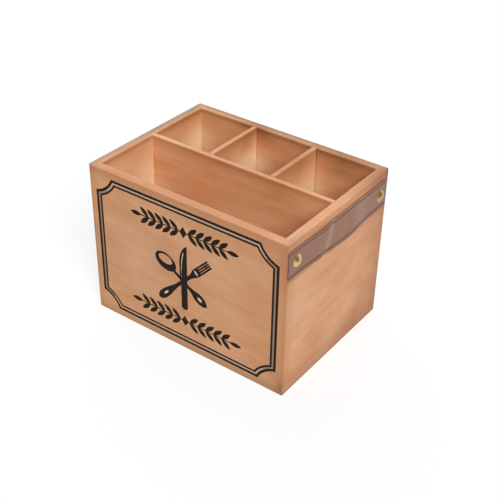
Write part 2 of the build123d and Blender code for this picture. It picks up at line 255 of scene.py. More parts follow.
def veneer(tree, place, grain_turn, grain_shift):
    """The colour of stained veneer, the clouds, streaks and fibres that make it, and its pores."""
    # Grain runs along the turned X axis
    turned = add_node(
        tree,
        "ShaderNodeMapping",
        {"vector_type": "TEXTURE"},
        {
            "Vector": place,
            "Location": [shift * mm for shift in grain_shift],
            "Rotation": [math.radians(angle) for angle in grain_turn],
        },
    ).outputs[0]

    def streaks(length, width, detail, roughness, distortion):
        """Noise whose patches are length by width millimetres, from 0 to 1."""
        stretched = add_node(
            tree,
            "ShaderNodeMapping",
            {},
            {"Vector": turned, "Scale": (1 / (length * mm), 1 / (width * mm), 1 / (width * mm))},
        )
        return add_node(
            tree,
            "ShaderNodeTexNoise",
            {},
            {
                "Vector": stretched.outputs[0],
                "Scale": 1.0,
                "Detail": detail,
                "Roughness": roughness,
                "Distortion": distortion,
            },
        ).outputs["Fac"]

    clouds = streaks(60, 34, 3, 0.5, 0.3)
    figure = streaks(150, 9, 3, 0.55, 0.6)
    fibres = streaks(45, 1.3, 3, 0.6, 0.0)
    pores = streaks(7, pore_width, 1, 0.5, 0.0)

    # Lightness of the stain, from 0 dark to 1 light
    lightness = 0.0
    for noise, share in ((figure, 0.26), (clouds, 0.5), (fibres, 0.22)):
        lightness = add_node(
            tree, "ShaderNodeMath", {"operation": "MULTIPLY_ADD"}, {0: noise, 1: share, 2: lightness}
        ).outputs[0]
    ramp = add_node(tree, "ShaderNodeValToRGB", {}, {"Fac": lightness})
    ramp.color_ramp.elements[0].position = 0.32
    ramp.color_ramp.elements[0].color = linear("#C88A58")
    ramp.color_ramp.elements[1].position = 0.66
    ramp.color_ramp.elements[1].color = linear("#E6AF84")
    middle = ramp.color_ramp.elements.new(0.49)
    middle.color = linear("#DA9D70")

    # Dark pores
    pore_depth = add_node(
        tree,
        "ShaderNodeMapRange",
        {"interpolation_type": "SMOOTHSTEP"},
        {"Value": pores, "From Min": 0.66, "From Max": 0.78, "To Min": 0.0, "To Max": 0.28},
    ).outputs[0]
    pored = add_node(
        tree,
        "ShaderNodeMix",
        {"data_type": "RGBA"},
        {0: pore_depth, 6: ramp.outputs["Color"], 7: linear("#8E5A36")},
    ).outputs[2]

    return pored, clouds, figure, fibres, pore_depth


print("Finest pattern of the wood in mm", pore_width)

# %% [markdown]
# A board is not the same all over. The stain is stronger towards its ends and sides, because cut edges
# drink more of it, and the sharp edges along the rim are rubbed lighter. Both could be painted by hand,
# but they follow from how far a point is from an edge, so they are worked out, and a little noise
# makes them uneven.

# %% Stained ends and rubbed edges
def worn_edges(tree, place, board, end_reach, colour, clouds, figure):
    """The colour with a darker stain near the board's ends and sides, and with rubbed edges on the rim.

    The ends are end_reach millimetres from the middle of the box. On the dividers and the base it
    lies past the ends, which stand in the walls and are not stained darker.
    """
    board_low, board_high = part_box(board)
    board_middle = (board_low + board_high) / 2
    board_size = board_high - board_low
    thin = min(range(3), key=lambda axis: board_size[axis])
    long_axis = "Y" if thin == 0 else "X"
    axes = add_node(tree, "ShaderNodeSeparateXYZ", {}, {"Vector": place}).outputs

    # Darker stain, which stops short of the rim
    along = add_node(tree, "ShaderNodeMath", {"operation": "ABSOLUTE"}, {0: axes[long_axis]}).outputs[0]
    from_end = add_node(
        tree, "ShaderNodeMath", {"operation": "SUBTRACT"}, {0: end_reach * mm, 1: along}
    ).outputs[0]
    below_rim = add_node(
        tree, "ShaderNodeMath", {"operation": "SUBTRACT"}, {0: cad_high.z, 1: axes["Z"]}
    ).outputs[0]
    from_side = add_node(
        tree, "ShaderNodeMath", {"operation": "MINIMUM"}, {0: below_rim, 1: axes["Z"]}
    ).outputs[0]
    from_edge = add_node(
        tree, "ShaderNodeMath", {"operation": "MINIMUM"}, {0: from_end, 1: from_side}
    ).outputs[0]
    uneven_edge = add_node(
        tree, "ShaderNodeMath", {"operation": "MULTIPLY_ADD"}, {0: clouds, 1: -14 * mm, 2: from_edge}
    ).outputs[0]
    edge_stain = add_node(
        tree,
        "ShaderNodeMapRange",
        {"interpolation_type": "SMOOTHSTEP"},
        {"Value": uneven_edge, "From Min": -4 * mm, "From Max": 9 * mm, "To Min": 0.5, "To Max": 0.0},
    ).outputs[0]
    off_rim = add_node(
        tree,
        "ShaderNodeMapRange",
        {"interpolation_type": "SMOOTHSTEP"},
        {"Value": below_rim, "From Min": 0.5 * mm, "From Max": 2.5 * mm},
    ).outputs[0]
    edge_share = add_node(
        tree, "ShaderNodeMath", {"operation": "MULTIPLY"}, {0: edge_stain, 1: off_rim}
    ).outputs[0]
    edged = add_node(
        tree, "ShaderNodeMix", {"data_type": "RGBA"}, {0: edge_share, 6: colour, 7: linear("#CB8D5B")}
    ).outputs[2]

    # Rubbed edges along the rim, on both sides of the board
    across = add_node(
        tree, "ShaderNodeMath", {"operation": "ABSOLUTE"}, {0: axes["XYZ"[thin]]}
    ).outputs[0]
    off_middle = distance_from(tree, across, abs(board_middle[thin]))
    skin_depth = add_node(
        tree, "ShaderNodeMath", {"operation": "SUBTRACT"}, {0: board_size[thin] / 2, 1: off_middle}
    ).outputs[0]
    from_arris = add_node(
        tree, "ShaderNodeMath", {"operation": "MAXIMUM"}, {0: skin_depth, 1: below_rim}
    ).outputs[0]
    ragged_arris = add_node(
        tree, "ShaderNodeMath", {"operation": "MULTIPLY_ADD"}, {0: figure, 1: -1.6 * mm, 2: from_arris}
    ).outputs[0]
    rubbed = add_node(
        tree,
        "ShaderNodeMapRange",
        {"interpolation_type": "SMOOTHSTEP"},
        {
            "Value": ragged_arris,
            "From Min": -0.8 * mm,
            "From Max": 0.6 * mm,
            "To Min": 0.3,
            "To Max": 0.0,
        },
    ).outputs[0]
    return add_node(
        tree, "ShaderNodeMix", {"data_type": "RGBA"}, {0: rubbed, 6: edged, 7: linear("#EDBE97")}
    ).outputs[2]


print("Rim of the boards in mm", round(cad_high.z / mm, 1))

# %% [markdown]
# Each board also has soft patches, placed where the plain boards differed from the photograph, in tints
# that cancel the difference. Multiply makes the wood darker, as more stain does, and Screen makes it
# paler, as thin or rubbed stain is. Both keep the grain, which paint over it would not. Many patches are
# painted light and shade, not stain: the front and the walls inside are lighter in the photograph than
# these lamps make them, so they are painted paler, with painted shade near the rim inside and a painted
# glow in the front bay's left corner. The right side is painted darker towards its rear and foot as
# shade and paler at its front as light, with a painted shadow under its strap and painted shade on its
# rounded rear corner, and painted shadows lie in the joints of the cross dividers with the back wall.
# Other patches darken the wood along its edges, rims and corners.

# %% Soft patches
def soft_patches(tree, place, patches, colour, clouds):
    """The colour with soft patches, whose edges follow the clouds. Lengths are in millimetres.

    A patch is a blend type, a centre, a reach along each axis, a colour and a share.
    """
    for blend_type, centre, reach, patch_colour, share in patches:
        from_centre = oval_distance(tree, place, Vector(centre) * mm, Vector(reach) * mm)
        uneven = add_node(
            tree, "ShaderNodeMath", {"operation": "MULTIPLY_ADD"}, {0: clouds, 1: 0.4, 2: from_centre}
        ).outputs[0]
        patch = add_node(
            tree,
            "ShaderNodeMapRange",
            {"interpolation_type": "SMOOTHSTEP"},
            {"Value": uneven, "From Min": 0.2, "From Max": 1.2, "To Min": share, "To Max": 0.0},
        ).outputs[0]
        colour = add_node(
            tree,
            "ShaderNodeMix",
            {"data_type": "RGBA", "blend_type": blend_type},
            {0: patch, 6: colour, 7: linear(patch_colour)},
        ).outputs[2]
    return colour


darker, paler = "MULTIPLY", "SCREEN"
# A patch reaches far along the axes on which it does not change, in millimetres
far = 400
# A patch that reaches this far through a 9 mm wall stays on the face where its centre is
one_face = 7.5
print("A patch on one face reaches, in mm", one_face)

# %% [markdown]
# The finish of a board puts these three together under a satin lacquer, which is smoother between the
# fibres than on them. One function makes the finish of any board.

# %% Stained plywood
def stained_plywood(name, board, grain_turn, grain_shift, end_reach, patches):
    """The finish of one board. Lengths are in millimetres, and grain_turn is in degrees."""
    material, tree, output = new_tree(name)
    place = add_node(tree, "ShaderNodeTexCoord", {}, {}).outputs["Object"]
    plain, clouds, figure, fibres, pore_depth = veneer(tree, place, grain_turn, grain_shift)
    edged = worn_edges(tree, place, board, end_reach, plain, clouds, figure)
    wood_colour = soft_patches(tree, place, patches, edged, clouds)

    # Satin lacquer, with the fibres and pores just felt through it
    gloss = add_node(
        tree, "ShaderNodeMapRange", {}, {"Value": fibres, "To Min": 0.46, "To Max": 0.62}
    ).outputs[0]
    relief = add_node(
        tree, "ShaderNodeMath", {"operation": "MULTIPLY_ADD"}, {0: pore_depth, 1: -1.5, 2: fibres}
    ).outputs[0]
    bump = add_node(
        tree,
        "ShaderNodeBump",
        {},
        {"Strength": 0.12, "Distance": 0.15 * mm, "Height": relief},
    ).outputs[0]
    wood = add_node(
        tree,
        "ShaderNodeBsdfPrincipled",
        {},
        {"Base Color": wood_colour, "Roughness": gloss, "IOR": 1.5, "Normal": bump},
    )
    tree.links.new(wood.outputs[0], output.inputs["Surface"])
    return material


print("Boards to finish", sum(name.endswith(("_panel", "_divider")) for name in nodes))

# %% [markdown]
# Now each board gets a grain of its own, shifted so that no two are alike, and its own patches. The
# last patches of the front are small marks inside the cut design, where the wood between the cuts
# is paler or darker.

# %% Stain on each board
boards = {
    "front_panel": dict(
        name="stained_plywood_front",
        grain_turn=(0, 0, 0),
        grain_shift=(13, 7, 5),
        end_reach=120,
        patches=[
            (darker, (0, -88, 0), (far, far, 17), "#E4EFF8", 1.0),
            (darker, (0, -88, 174), (far, far, 20), "#F0E8E4", 1.0),
            (darker, (15, -88, 155), (80, far, 10), "#F0E6E0", 1.0),
            (darker, (-120, -88, 87), (3, 3, far), "#D1D6DE", 1.0),
            (darker, (-120, -88, 60), (14, far, 90), "#EBF5FC", 1.0),
            (darker, (120, -88, 150), (16, far, 45), "#F0E6E3", 1.0),
            (darker, (120, -88, 0), (40, far, 40), "#F0E6E3", 1.0),
            (darker, (120, -88, 87), (3, 3, far), "#D9C7B3", 0.8),
            (darker, (0, -88, 0), (far, 3, 3), "#D9DEE6", 1.0),
            (darker, (-120, -88, 172), (14, far, 10), "#E2DEDE", 1.0),
            (darker, (119, -88, 9), (12, far, 16), "#D8DADC", 1.0),
            # Painted light: the whole front is made paler than its stain
            (paler, (0, -88, 87), (far, far, far), "#604438", 1.0),
            (paler, (-60, -88, 80), (80, far, 65), "#30383A", 1.0),
            (paler, (19.5, -88, 70), (4, one_face, 4), "#C8C8C0", 1.0),
            (paler, (-24, -88, 60.5), (6, one_face, 6), "#C8C8C0", 1.0),
            (paler, (15.2, -88, 100.2), (4, one_face, 4), "#C8C8C0", 1.0),
            (paler, (-2, -88, 112), (3, one_face, 12), "#909088", 1.0),
            (darker, (27.5, -88, 113), (5, one_face, 4.6), "#727070", 1.0),
            (darker, (-3, -88, 92), (2.2, one_face, 9), "#90989E", 1.0),
        ],
    ),
    "back_panel": dict(
        name="stained_plywood_back",
        grain_turn=(0, 0, 0),
        grain_shift=(230, 41, 88),
        end_reach=120,
        patches=[
            # Painted shade: the back wall is darker towards its top, with a darker line just under the
            # rim
            (darker, (70, 79, 180), (150, far, 36), "#D0C6BA", 1.0),
            (darker, (-25, 79, 178), (30, far, 36), "#E6DCD2", 1.0),
            (darker, (0, 79, 172), (far, 3, 4), "#E0D6CC", 1.0),
            (darker, (-60, 88, 175), (260, 8, 3), "#BCC6D0", 1.0),
            (darker, (0, 83.5, 175), (far, 8, 4), "#EBE8E6", 1.0),
            # Painted shade on the rounded corner at the right rear
            (darker, (121, 89, 162), (8, 12, 45), "#8C8C92", 1.0),
            # Painted shadow in the joints where the cross dividers meet the back wall
            (darker, (40.6, 79, 90), (1.3, 3, far), "#A69485", 0.8),
            (darker, (-35.1, 79, 90), (1.3, 3, far), "#A69485", 0.6),
            # Painted light and shade in the three bays: the back wall is paler deeper down and darker
            # near the top
            (paler, (-90, 79, 125), (35, one_face, 40), "#5A5546", 1.0),
            (paler, (-108, 79, 142), (24, one_face, 24), "#6A7A68", 1.0),
            (paler, (-33, 79, 132), (30, one_face, 24), "#808E7C", 1.0),
            (darker, (-33, 79, 170), (32, one_face, 20), "#DECFBC", 1.0),
            (paler, (44, 79, 132), (18, one_face, 20), "#4A7D68", 1.0),
            (darker, (66, 79, 156), (26, one_face, 18), "#E6DED8", 1.0),
        ],
    ),
    "left_side_panel": dict(
        name="stained_plywood_left",
        grain_turn=(0, 0, 90),
        grain_shift=(61, 350, 31),
        end_reach=88,
        patches=[
            # Painted light: the inner face is made paler in both bays
            (paler, (-111, -2.5, 122), (one_face, 66, 66), "#C7AF8A", 0.9),
            (paler, (-111, 74, 136), (one_face, 56, 34), "#C7B390", 0.95),
            (paler, (-111, -60, 154), (one_face, 36, 22), "#978468", 1.0),
            # Painted shade just under the rim and near the top of the rear bay, and a painted glow of
            # light in the front bay's corner
            (darker, (-111, 0, 172), (3, far, 4), "#E6DCD2", 1.0),
            (paler, (-111, -2.5, 120), (3, 3, far), "#C7AA83", 0.3),
            (darker, (-111, 50, 178), (one_face, 60, 20), "#E6D6C6", 1.0),
            (darker, (-120, 20, 175), (8, far, 3), "#BFCCD8", 1.0),
            (darker, (-116, 0, 175), (5, far, 4), "#DEE6EE", 1.0),
            (darker, (-112.5, -30, 175), (4, 100, 4), "#E5D9D0", 1.0),
            (darker, (-120, -88, 87), (3, 3, far), "#D1D6DE", 1.0),
        ],
    ),
    "right_side_panel": dict(
        name="stained_plywood_right",
        grain_turn=(0, 0, 90),
        grain_shift=(17, 90, 57),
        end_reach=88,
        patches=[
            # Painted shade: the side is darker towards its rear and its foot
            (darker, (120, 98, 70), (far, 66, far), "#DED4CC", 1.0),
            (darker, (120, 25, -8), (far, far, 68), "#DFD6CD", 1.0),
            (darker, (118, 92, 174), (far, 50, 16), "#DECFCA", 1.0),
            (darker, (120, 40, 10), (far, 60, 60), "#F0E8E0", 1.0),
            # Painted shadow under the strap
            (darker, (120, -62, 134), (far, 66, 5), "#DBDBE3", 1.0),
            # Painted shade on the rounded rear corner, beside the strap's end and up to the rim
            (darker, (120, 87, 152), (far, 5, 20), "#A89E99", 1.0),
            (darker, (120, 88, 87), (3, 4, far), "#C7C7CC", 1.0),
            (darker, (120, 88.5, 168), (12, 8, 14), "#B2957C", 1.0),
            (darker, (121, 89, 150), (12, 5, 45), "#8C8C92", 1.0),
            (darker, (120, -88, 87), (3, 3, far), "#D9C7B3", 0.8),
            (darker, (120, 0, 0), (3, far, 3), "#D9DEE6", 1.0),
            (darker, (119, 52, 175), (9, 50, 7), "#DCD6D2", 1.0),
            (darker, (119, -76, 174), (9, 34, 10), "#DEDEE0", 1.0),
            # Painted light: the front part of the side is made paler
            (paler, (120, -70, 90), (far, 40, 45), "#3A4038", 1.0),
        ],
    ),
    "long_divider": dict(
        name="stained_plywood_long_divider",
        grain_turn=(0, 0, 0),
        grain_shift=(470, 11, 205),
        end_reach=130,
        patches=[
            (darker, (30, 0, 176), (110, far, 4), "#EDE6E0", 1.0),
            (darker, (0, -2.5, 172), (far, 2, 4), "#E6DCD2", 1.0),
            # Painted light: the divider's front face is made paler
            (paler, (20, -2.5, 116), (150, far, 46), "#8C6548", 1.0),
            (paler, (90, -2.5, 160), (44, far, 28), "#A06B47", 1.0),
            (paler, (-98, -2.5, 118), (26, far, 14), "#506E58", 1.0),
            (darker, (-46, -2.5, 138), (30, far, 30), "#FFF4DC", 1.0),
        ],
    ),
    "left_cross_divider": dict(
        name="stained_plywood_left_cross",
        grain_turn=(0, 0, 90),
        grain_shift=(133, 12, 77),
        end_reach=98,
        patches=[
            # Painted light and shade: the face is paler deeper down and darker near the rim
            (paler, (-35, 70, 138), (far, 60, 34), "#C7AC85", 0.95),
            (darker, (-35, 55, 178), (far, 100, 19), "#C9B39E", 1.0),
            (darker, (-35, 62, 162), (far, 22, 16), "#EADCD2", 1.0),
            (paler, (-37.8, 40, 176), (far, 80, 3), "#A2734A", 1.0),
        ],
    ),
    "right_cross_divider": dict(
        name="stained_plywood_right_cross",
        grain_turn=(0, 0, 90),
        grain_shift=(311, 64, 19),
        end_reach=98,
        patches=[
            # Painted light and shade: the face is paler deeper down and darker near the rim
            (paler, (40, 64, 128), (far, 62, 38), "#C7AF8A", 0.95),
            (darker, (40, 40, 178), (far, 100, 21), "#DECFC0", 1.0),
            (darker, (40, 46, 164), (far, 26, 16), "#EDE2DA", 1.0),
        ],
    ),
    "base_panel": dict(
        name="stained_plywood_base",
        grain_turn=(90, 0, 0),
        grain_shift=(77, 33, 10),
        end_reach=130,
        patches=[],
    ),
}
finishes = {board: stained_plywood(board=board, **details) for board, details in boards.items()}
for board, finish in finishes.items():
    nodes[board].material_slots[0].material = finish
print("Boards finished", len(finishes))

# %% [markdown]
# The design on the front is cut 0.4 mm deep, and its floors are filled with matt black paint. The
# cuts are real shapes in the CAD board, so the paint needs no picture: every point of the front
# that lies deeper than the face is black. A box keeps the board's rounded edges and its inner
# side out of it. On the spoon's narrow rim the paint has run over the edges of its cut, so there it
# is drawn between two ovals. The front is duller than the other boards, or its black would look grey.

# %% Black paint in the cuts
front_finish = finishes["front_panel"]
tree = front_finish.node_tree
wood = next(node for node in tree.nodes if node.type == "BSDF_PRINCIPLED")
wood.inputs["Specular IOR Level"].default_value = 0.2
place = add_node(tree, "ShaderNodeTexCoord", {}, {}).outputs["Object"]
axes = add_node(tree, "ShaderNodeSeparateXYZ", {}, {"Vector": place}).outputs
paint_middle = (0, cad_low.y + 0.45 * mm, cad_high.z / 2)
paint_reach = (115 * mm, 0.4 * mm, 83 * mm)
in_cuts = 1.0
for axis, middle, reach in zip("XYZ", paint_middle, paint_reach):
    inside = add_node(
        tree, "ShaderNodeMath", {"operation": "COMPARE"}, {0: axes[axis], 1: middle, 2: reach}
    ).outputs[0]
    in_cuts = add_node(
        tree, "ShaderNodeMath", {"operation": "MULTIPLY"}, {0: in_cuts, 1: inside}
    ).outputs[0]

# Inside the oval of the spoon's bowl and outside a smaller one
on_rim = 1.0
for centre, reach, turn_down, operation in (
    ((-23.05, -88, 98.5), (13.75, one_face, 9.5), 20, "LESS_THAN"),
    ((-23.3, -88, 101.1), (8.8, one_face, 5.0), 10, "GREATER_THAN"),
):
    oval_share = oval_distance(
        tree, place, Vector(centre) * mm, Vector(reach) * mm, (0, math.radians(turn_down), 0)
    )
    this_side = add_node(
        tree, "ShaderNodeMath", {"operation": operation}, {0: oval_share, 1: 1.0}
    ).outputs[0]
    on_rim = add_node(
        tree, "ShaderNodeMath", {"operation": "MULTIPLY"}, {0: on_rim, 1: this_side}
    ).outputs[0]
paint_mask = add_node(
    tree, "ShaderNodeMath", {"operation": "MAXIMUM"}, {0: in_cuts, 1: on_rim}
).outputs[0]
print("Paint reaches, in mm", [round(2 * reach / mm, 1) for reach in paint_reach])

# %% [markdown]
# The wood left between the two lines of the border has lost its stain, so it is paler and greyer, and a
# little black has run into it on the upright sides. The border keeps an even distance from the panel's
# edges and from the circles that hollow its corners, so the strip is found by that distance.

# %% Strip inside the border
# Distances in metres from the panel's edges and from its hollow corners
half_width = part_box("right_side_panel")[1].x
half_height = cad_high.z / 2
hollow_centre = (119.0 * mm, 91.28 * mm, 0)
hollow_reach = 22.31 * mm
strip_inset = 12.2 * mm
strip_half_width = 1.0 * mm
strip_strength = 0.75
from_panel_middle = add_node(
    tree, "ShaderNodeVectorMath", {"operation": "SUBTRACT"}, {0: place, 1: (0, 0, half_height)}
).outputs[0]
quarter = add_node(
    tree, "ShaderNodeVectorMath", {"operation": "ABSOLUTE"}, {0: from_panel_middle}
).outputs[0]
quarter_axes = add_node(tree, "ShaderNodeSeparateXYZ", {}, {"Vector": quarter}).outputs
quarter_flat = add_node(
    tree, "ShaderNodeCombineXYZ", {}, {"X": quarter_axes["X"], "Y": quarter_axes["Z"]}
).outputs[0]
corner_distance = add_node(
    tree, "ShaderNodeVectorMath", {"operation": "DISTANCE"}, {0: quarter_flat, 1: hollow_centre}
).outputs["Value"]
inset = add_node(
    tree, "ShaderNodeMath", {"operation": "SUBTRACT"}, {0: corner_distance, 1: hollow_reach}
).outputs[0]
side_insets = []
for half_side, axis in ((half_width, "X"), (half_height, "Z")):
    side_inset = add_node(
        tree, "ShaderNodeMath", {"operation": "SUBTRACT"}, {0: half_side, 1: quarter_axes[axis]}
    ).outputs[0]
    inset = add_node(
        tree, "ShaderNodeMath", {"operation": "MINIMUM"}, {0: inset, 1: side_inset}
    ).outputs[0]
    side_insets.append(side_inset)
upright = add_node(
    tree, "ShaderNodeMath", {"operation": "LESS_THAN"}, {0: side_insets[0], 1: side_insets[1]}
).outputs[0]
strip_colour = add_node(
    tree,
    "ShaderNodeMix",
    {"data_type": "RGBA"},
    {0: upright, 6: linear("#C8B09C"), 7: linear("#8A786B")},
).outputs[2]
on_strip = add_node(
    tree,
    "ShaderNodeMath",
    {"operation": "COMPARE"},
    {0: inset, 1: strip_inset, 2: strip_half_width},
).outputs[0]
on_face = add_node(
    tree, "ShaderNodeMath", {"operation": "COMPARE"}, {0: axes["Y"], 1: cad_low.y, 2: 0.04 * mm}
).outputs[0]
strip_mask = add_node(
    tree, "ShaderNodeMath", {"operation": "MULTIPLY"}, {0: on_strip, 1: on_face}
).outputs[0]
strip_share = add_node(
    tree, "ShaderNodeMath", {"operation": "MULTIPLY"}, {0: strip_mask, 1: strip_strength}
).outputs[0]
print("Strip lies from the edges, in mm", round(strip_inset / mm, 1))

# %% [markdown]
# Both masks now go to work: the strip's colour goes over the stained wood, and the black over both. The
# black is a little cloudy, as brushed paint is, and rougher than the lacquer.

# %% Finish of the front
stained_colour = wood.inputs["Base Color"].links[0].from_socket
bare_colour = add_node(
    tree, "ShaderNodeMix", {"data_type": "RGBA"}, {0: strip_share, 6: stained_colour, 7: strip_colour}
).outputs[2]
paint_clouds = add_node(
    tree, "ShaderNodeTexNoise", {}, {"Vector": place, "Scale": 1 / (6 * mm), "Detail": 3.0}
).outputs["Fac"]
paint_colour = add_node(
    tree,
    "ShaderNodeMix",
    {"data_type": "RGBA"},
    {0: paint_clouds, 6: linear("#120A06"), 7: linear("#24170F")},
).outputs[2]
front_colour = add_node(
    tree, "ShaderNodeMix", {"data_type": "RGBA"}, {0: paint_mask, 6: bare_colour, 7: paint_colour}
).outputs[2]
bare_gloss = wood.inputs["Roughness"].links[0].from_socket
matt_paint = add_node(
    tree, "ShaderNodeMapRange", {}, {"Value": paint_clouds, "To Min": 0.7, "To Max": 0.85}
).outputs[0]
front_gloss = add_node(
    tree, "ShaderNodeMix", {}, {0: paint_mask, 2: bare_gloss, 3: matt_paint}
).outputs[0]
tree.links.new(front_colour, wood.inputs["Base Color"])
tree.links.new(front_gloss, wood.inputs["Roughness"])
print("Front finish", front_finish.name, "has", len(tree.nodes), "nodes")

# %% [markdown]
# The straps' sizes come from the CAD tabs that they replace. A strap will be modelled as a flat grid of
# squares, so its seams are given as whole squares from its top edge, to lie on the grid's lines. The
# folds and worn places are given by their distances from its front end.

# %% Strap sizes
wall_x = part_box("right_side_panel")[1].x
tab_low, tab_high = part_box("right_front_strap_tab")
strap_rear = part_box("right_rear_strap_tab")[1].y
strap_length = strap_rear - tab_low.y
strap_centre = (strap_rear + tab_low.y) / 2
strap_width = tab_high.z - tab_low.z
strap_middle = (tab_high.z + tab_low.z) / 2
fold_top = 71 * mm
fold_bottom = 57 * mm
bend_place = 122 * mm
worn_place = 91 * mm
squares_across, squares_along = 30, 168
square = strap_width / squares_across
upper_seam = 3 * square
lower_seam = 26 * square
print("Strap in mm", round(strap_length / mm, 1), "by", round(strap_width / mm, 1))

# %% [markdown]
# The straps are soft brown leathercloth with a pressed grain and a slightly uneven colour. The pattern
# has to bend with the strap, so it reads the strap's own UV map, which the grid primitive brings along:
# U runs across the strap and V along it.

# %% Leathercloth
leather, tree, output = new_tree("brown_leathercloth")
flat_map = add_node(tree, "ShaderNodeTexCoord", {}, {}).outputs["UV"]
flat_place = add_node(
    tree, "ShaderNodeMapping", {}, {"Vector": flat_map, "Scale": (strap_width, strap_length, 1)}
).outputs[0]
flat_axes = add_node(tree, "ShaderNodeSeparateXYZ", {}, {"Vector": flat_place}).outputs
# Real leather grain is about 0.6 mm, and this is drawn coarser, or it would not show
pebble_size = 1.1 * mm
pebbles = add_node(
    tree,
    "ShaderNodeTexVoronoi",
    {"feature": "DISTANCE_TO_EDGE"},
    {"Vector": flat_place, "Scale": 1 / pebble_size},
).outputs["Distance"]
clouds = add_node(
    tree, "ShaderNodeTexNoise", {}, {"Vector": flat_place, "Scale": 1 / (16 * mm), "Detail": 4.0}
).outputs["Fac"]
leather_colour = add_node(
    tree,
    "ShaderNodeMix",
    {"data_type": "RGBA"},
    {0: clouds, 6: linear("#7D5440"), 7: linear("#A27661")},
).outputs[2]
print("Leather grain in mm", round(pebble_size / mm, 1))

# %% [markdown]
# A used strap is worn. The fold in the middle is rubbed and creased paler, and it also carries a painted
# highlight along its ridge; the bend behind it has a painted sheen. The seams are darker with dirt, the
# strip below the lower one is painted darker as shade, and the cut edges and ends are painted dark.
# Between the fold and the bend, where a hand takes hold, that dirt and paint have worn off. Each of
# these is a soft band at a distance from a line on the flat strap.

# %% Wear, painted shade and painted sheen on the strap
fold_line = add_node(
    tree,
    "ShaderNodeMath",
    {"operation": "MULTIPLY_ADD"},
    {0: flat_axes["X"], 1: (fold_bottom - fold_top) / strap_width, 2: fold_top},
).outputs[0]
fold_distance = distance_from(tree, flat_axes["Y"], fold_line)
# A paler band at the fold: creased and rubbed leather, and a painted highlight on its ridge
fold_whitening_and_highlight = add_node(
    tree,
    "ShaderNodeMapRange",
    {"interpolation_type": "SMOOTHSTEP"},
    {"Value": fold_distance, "From Min": 0.5 * mm, "From Max": 7 * mm, "To Min": 0.38, "To Max": 0.0},
).outputs[0]
bend_distance = distance_from(tree, flat_axes["Y"], bend_place)
uneven_bend = add_node(
    tree, "ShaderNodeMath", {"operation": "MULTIPLY_ADD"}, {0: clouds, 1: 20 * mm, 2: bend_distance}
).outputs[0]
# A painted sheen at the bend
bend_sheen = add_node(
    tree,
    "ShaderNodeMapRange",
    {"interpolation_type": "SMOOTHSTEP"},
    {"Value": uneven_bend, "From Min": 6 * mm, "From Max": 30 * mm, "To Min": 0.25, "To Max": 0.0},
).outputs[0]
centre_distance = distance_from(tree, flat_axes["X"], strap_width / 2)
edge_paint = add_node(
    tree,
    "ShaderNodeMapRange",
    {"interpolation_type": "SMOOTHSTEP"},
    {
        "Value": centre_distance,
        "From Min": strap_width / 2 - 1.2 * mm,
        "From Max": strap_width / 2 - 0.2 * mm,
        "To Max": 0.45,
    },
).outputs[0]
seam_distance = strap_width
for seam in (upper_seam, lower_seam):
    seam_distance = add_node(
        tree,
        "ShaderNodeMath",
        {"operation": "MINIMUM"},
        {0: seam_distance, 1: distance_from(tree, flat_axes["X"], seam)},
    ).outputs[0]
seam_dirt = add_node(
    tree,
    "ShaderNodeMapRange",
    {"interpolation_type": "SMOOTHSTEP"},
    {"Value": seam_distance, "From Min": 0.2 * mm, "From Max": 0.9 * mm, "To Min": 0.65, "To Max": 0.0},
).outputs[0]
# Painted shade on the strip below the lower seam
shade_below_seam = add_node(
    tree,
    "ShaderNodeMapRange",
    {"interpolation_type": "SMOOTHSTEP"},
    {"Value": flat_axes["X"], "From Min": lower_seam, "From Max": lower_seam + 1 * mm, "To Max": 0.6},
).outputs[0]
worn_distance = distance_from(tree, flat_axes["Y"], worn_place)
not_worn = add_node(
    tree,
    "ShaderNodeMapRange",
    {"interpolation_type": "SMOOTHSTEP"},
    {"Value": worn_distance, "From Min": 8 * mm, "From Max": 18 * mm, "To Min": 0.1},
).outputs[0]
front_end, rear_end = [
    add_node(
        tree,
        "ShaderNodeMapRange",
        {"interpolation_type": "SMOOTHSTEP"},
        {"Value": flat_axes["Y"], "From Min": inner, "From Max": outer, "To Max": share},
    ).outputs[0]
    for inner, outer, share in (
        (1.8 * mm, 0.4 * mm, 0.4),
        (strap_length - 2.8 * mm, strap_length - 1.2 * mm, 0.85),
    )
]
dirt_left, paint_left = [
    add_node(tree, "ShaderNodeMath", {"operation": "MULTIPLY"}, {0: share, 1: not_worn}).outputs[0]
    for share in (seam_dirt, edge_paint)
]
print("Strap is worn at, in mm from its front end", round(worn_place / mm, 1))

# %% [markdown]
# The bands are laid over the plain colour one after another, and the last one wins where they cross.
# The pressed grain is felt as a bump, and the gloss follows the clouds of the colour.

# %% Finish of the strap
strap_colour = leather_colour
for share, colour in (
    (fold_whitening_and_highlight, "#C3A08E"),
    (bend_sheen, "#B0958A"),
    (shade_below_seam, "#7C4A24"),
    (dirt_left, "#4A2A1B"),
    (paint_left, "#5A3D31"),
    (front_end, "#5A3A2C"),
    (rear_end, "#332D2B"),
):
    strap_colour = add_node(
        tree, "ShaderNodeMix", {"data_type": "RGBA"}, {0: share, 6: strap_colour, 7: linear(colour)}
    ).outputs[2]
grain_height = add_node(
    tree, "ShaderNodeMath", {"operation": "MINIMUM"}, {0: pebbles, 1: 0.18}
).outputs[0]
grain_bump = add_node(
    tree, "ShaderNodeBump", {}, {"Strength": 0.3, "Distance": 0.3 * mm, "Height": grain_height}
).outputs[0]
leather_gloss = add_node(
    tree, "ShaderNodeMapRange", {}, {"Value": clouds, "To Min": 0.42, "To Max": 0.58}
).outputs[0]
skin = add_node(
    tree,
    "ShaderNodeBsdfPrincipled",
    {},
    {"Base Color": strap_colour, "Roughness": leather_gloss, "Normal": grain_bump},
)
tree.links.new(skin.outputs[0], output.inputs["Surface"])
print("Strap finish", leather.name)

# %% [markdown]
# The stitches are waxed brown thread. Twisted thread shows slanting strands, so a wave texture runs
# round each stitch at a slant.

